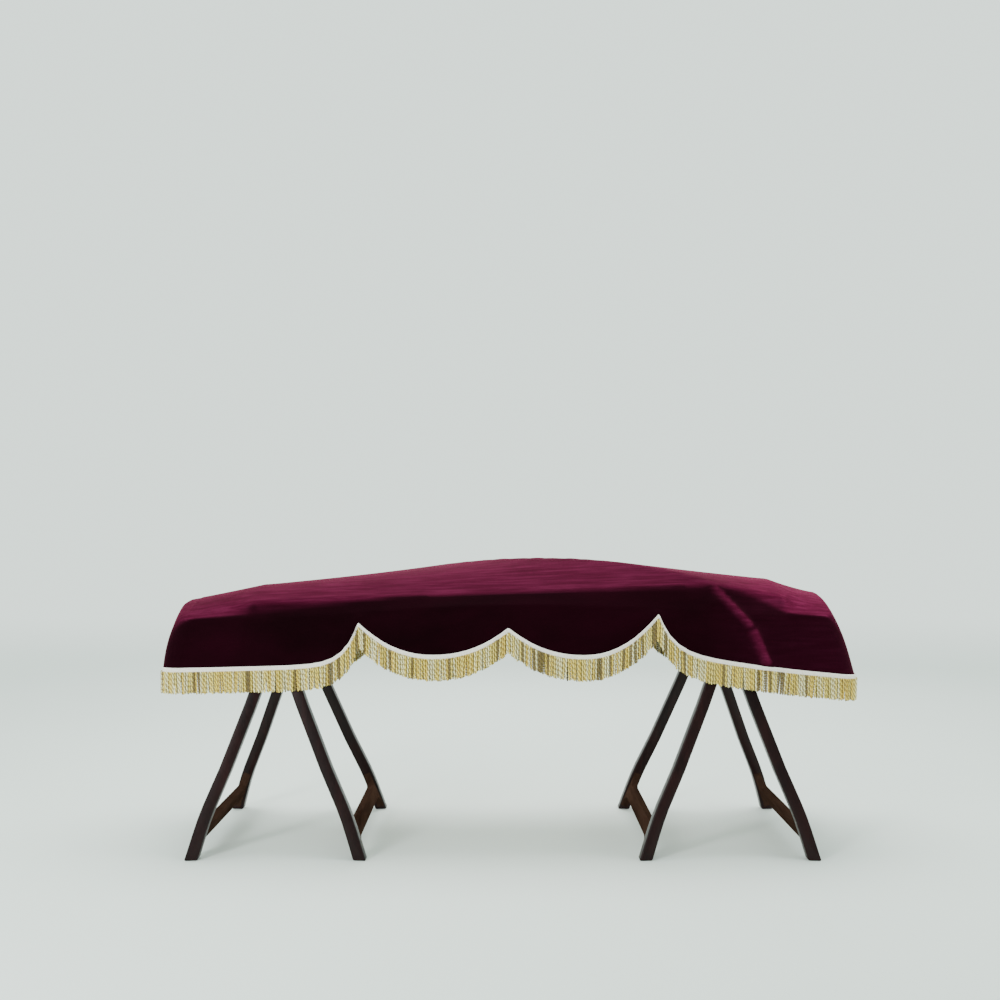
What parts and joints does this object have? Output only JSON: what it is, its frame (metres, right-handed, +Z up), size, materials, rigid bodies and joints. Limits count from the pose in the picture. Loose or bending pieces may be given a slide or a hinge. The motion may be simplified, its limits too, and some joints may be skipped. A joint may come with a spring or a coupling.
{
  "type": "guzheng",
  "caption": "Long plucked zither on two folding A-frame wooden stands, under a fitted velvet dust cover with a scalloped, fringed hem.",
  "frame": {"origin": "on the floor, under the middle of the whole object", "axes": "+X along the instrument towards its head, where the tuning pins are; -Y towards the player; +Z up"},
  "size_m": [1.7712, 0.5374, 0.7566],
  "materials": {
    "velvet": "matte",
    "braid": "satin",
    "fringe": "satin",
    "stand_wood": "gloss",
    "rosewood": "gloss",
    "bridge_wood": "satin",
    "paulownia": "matte",
    "plain_wood": "matte",
    "bone": "gloss",
    "nylon": "gloss",
    "steel": "gloss",
    "brass": "satin",
    "felt": "matte"
  },
  "bodies": {
    "stands": {"head_inner_legs": "stand_wood", "head_inner_stretcher": "stand_wood", "head_inner_rail": "stand_wood", "head_inner_pad": "felt", "head_inner_hinge": "brass", "tail_inner_legs": "stand_wood", "tail_inner_stretcher": "stand_wood", "tail_inner_rail": "stand_wood", "tail_inner_pad": "felt", "tail_inner_hinge": "brass"},
    "head_outer_frame": {"head_outer_legs": "stand_wood", "head_outer_stretcher": "stand_wood", "head_outer_rail": "stand_wood", "head_outer_pad": "felt", "head_outer_hinge": "brass"},
    "tail_outer_frame": {"tail_outer_legs": "stand_wood", "tail_outer_stretcher": "stand_wood", "tail_outer_rail": "stand_wood", "tail_outer_pad": "felt", "tail_outer_hinge": "brass"},
    "guzheng": {"soundboard": "paulownia", "back_board": "paulownia", "side_boards": "rosewood", "head_end_board": "rosewood", "tail_end_board": "rosewood", "inner_ribs": "plain_wood", "head_nut": "rosewood", "tail_nut": "rosewood", "nut_strips": "bone", "pin_block": "plain_wood", "tuning_pins": "steel", "strings": "nylon", "string_eyelets": "brass", "tail_plate": "rosewood", "string_guide_plate": "rosewood"},
    "lid": {"string_box_lid": "rosewood"},
    "cover": {"cover_cloth": "velvet", "cover_braid": "braid", "cover_fringe": "fringe"},
    "movable_bridge_01": {"bridge_01": "bridge_wood"},
    "movable_bridge_02": {"bridge_02": "bridge_wood"},
    "movable_bridge_03": {"bridge_03": "bridge_wood"},
    "movable_bridge_04": {"bridge_04": "bridge_wood"},
    "movable_bridge_05": {"bridge_05": "bridge_wood"},
    "movable_bridge_06": {"bridge_06": "bridge_wood"},
    "movable_bridge_07": {"bridge_07": "bridge_wood"},
    "movable_bridge_08": {"bridge_08": "bridge_wood"},
    "movable_bridge_09": {"bridge_09": "bridge_wood"},
    "movable_bridge_10": {"bridge_10": "bridge_wood"},
    "movable_bridge_11": {"bridge_11": "bridge_wood"},
    "movable_bridge_12": {"bridge_12": "bridge_wood"},
    "movable_bridge_13": {"bridge_13": "bridge_wood"},
    "movable_bridge_14": {"bridge_14": "bridge_wood"},
    "movable_bridge_15": {"bridge_15": "bridge_wood"},
    "movable_bridge_16": {"bridge_16": "bridge_wood"},
    "movable_bridge_17": {"bridge_17": "bridge_wood"},
    "movable_bridge_18": {"bridge_18": "bridge_wood"},
    "movable_bridge_19": {"bridge_19": "bridge_wood"},
    "movable_bridge_20": {"bridge_20": "bridge_wood"},
    "movable_bridge_21": {"bridge_21": "bridge_wood"}
  },
  "joints": [
    {"name": "guzheng_lift", "type": "slide", "parent": "stands", "child": "guzheng", "axis": [0, 0, 1], "range_m": [0, 0.12]},
    {"name": "cover_lift", "type": "slide", "parent": "guzheng", "child": "cover", "axis": [0, 0, 1], "range_m": [0, 0.45]},
    {"name": "lid_lift", "type": "slide", "parent": "guzheng", "child": "lid", "axis": [0, 0, 1], "range_m": [0, 0.135]},
    {"name": "fold_head_stand", "type": "hinge", "parent": "stands", "child": "head_outer_frame", "pos_m": [0.562, 0, 0.5127], "axis": [0, 1, 0], "range_deg": [0, 41]},
    {"name": "fold_tail_stand", "type": "hinge", "parent": "stands", "child": "tail_outer_frame", "pos_m": [-0.59, 0, 0.5127], "axis": [0, -1, 0], "range_deg": [0, 41]},
    {"name": "movable_bridge_01", "type": "slide", "parent": "guzheng", "child": "movable_bridge_01", "axis": [0.9982, 0, -0.0594], "range_m": [-0.008, 0.008], "deforming": ["strings"]},
    {"name": "movable_bridge_02", "type": "slide", "parent": "guzheng", "child": "movable_bridge_02", "axis": [0.9983, 0, -0.0576], "range_m": [-0.008, 0.008], "deforming": ["strings"]},
    {"name": "movable_bridge_03", "type": "slide", "parent": "guzheng", "child": "movable_bridge_03", "axis": [0.9985, 0, -0.0553], "range_m": [-0.008, 0.008], "deforming": ["strings"]},
    {"name": "movable_bridge_04", "type": "slide", "parent": "guzheng", "child": "movable_bridge_04", "axis": [0.9986, 0, -0.0525], "range_m": [-0.008, 0.008], "deforming": ["strings"]},
    {"name": "movable_bridge_05", "type": "slide", "parent": "guzheng", "child": "movable_bridge_05", "axis": [0.9988, 0, -0.0492], "range_m": [-0.008, 0.008], "deforming": ["strings"]},
    {"name": "movable_bridge_06", "type": "slide", "parent": "guzheng", "child": "movable_bridge_06", "axis": [0.999, 0, -0.0454], "range_m": [-0.008, 0.008], "deforming": ["strings"]},
    {"name": "movable_bridge_07", "type": "slide", "parent": "guzheng", "child": "movable_bridge_07", "axis": [0.9992, 0, -0.0411], "range_m": [-0.008, 0.008], "deforming": ["strings"]},
    {"name": "movable_bridge_08", "type": "slide", "parent": "guzheng", "child": "movable_bridge_08", "axis": [0.9993, 0, -0.0362], "range_m": [-0.008, 0.008], "deforming": ["strings"]},
    {"name": "movable_bridge_09", "type": "slide", "parent": "guzheng", "child": "movable_bridge_09", "axis": [0.9995, 0, -0.0309], "range_m": [-0.008, 0.008], "deforming": ["strings"]},
    {"name": "movable_bridge_10", "type": "slide", "parent": "guzheng", "child": "movable_bridge_10", "axis": [0.9997, 0, -0.025], "range_m": [-0.008, 0.008], "deforming": ["strings"]},
    {"name": "movable_bridge_11", "type": "slide", "parent": "guzheng", "child": "movable_bridge_11", "axis": [0.9998, 0, -0.0187], "range_m": [-0.008, 0.008], "deforming": ["strings"]},
    {"name": "movable_bridge_12", "type": "slide", "parent": "guzheng", "child": "movable_bridge_12", "axis": [0.9999, 0, -0.012], "range_m": [-0.008, 0.008], "deforming": ["strings"]},
    {"name": "movable_bridge_13", "type": "slide", "parent": "guzheng", "child": "movable_bridge_13", "axis": [1, 0, -0.005], "range_m": [-0.008, 0.008], "deforming": ["strings"]},
    {"name": "movable_bridge_14", "type": "slide", "parent": "guzheng", "child": "movable_bridge_14", "axis": [1, 0, 0.004], "range_m": [-0.008, 0.008], "deforming": ["strings"]},
    {"name": "movable_bridge_15", "type": "slide", "parent": "guzheng", "child": "movable_bridge_15", "axis": [0.9999, 0, 0.0172], "range_m": [-0.008, 0.008], "deforming": ["strings"]},
    {"name": "movable_bridge_16", "type": "slide", "parent": "guzheng", "child": "movable_bridge_16", "axis": [0.9995, 0, 0.0301], "range_m": [-0.008, 0.008], "deforming": ["strings"]},
    {"name": "movable_bridge_17", "type": "slide", "parent": "guzheng", "child": "movable_bridge_17", "axis": [0.9991, 0, 0.0426], "range_m": [-0.008, 0.008], "deforming": ["strings"]},
    {"name": "movable_bridge_18", "type": "slide", "parent": "guzheng", "child": "movable_bridge_18", "axis": [0.9985, 0, 0.0541], "range_m": [-0.008, 0.008], "deforming": ["strings"]},
    {"name": "movable_bridge_19", "type": "slide", "parent": "guzheng", "child": "movable_bridge_19", "axis": [0.9979, 0, 0.0643], "range_m": [-0.008, 0.008], "deforming": ["strings"]},
    {"name": "movable_bridge_20", "type": "slide", "parent": "guzheng", "child": "movable_bridge_20", "axis": [0.9974, 0, 0.0727], "range_m": [-0.008, 0.008], "deforming": ["strings"]},
    {"name": "movable_bridge_21", "type": "slide", "parent": "guzheng", "child": "movable_bridge_21", "axis": [0.9969, 0, 0.0789], "range_m": [-0.008, 0.008], "deforming": ["strings"]}
  ],
  "couplings": [
    {"joint": "lid_lift", "follows": "cover_lift", "ratio": 0.3}
  ]
}
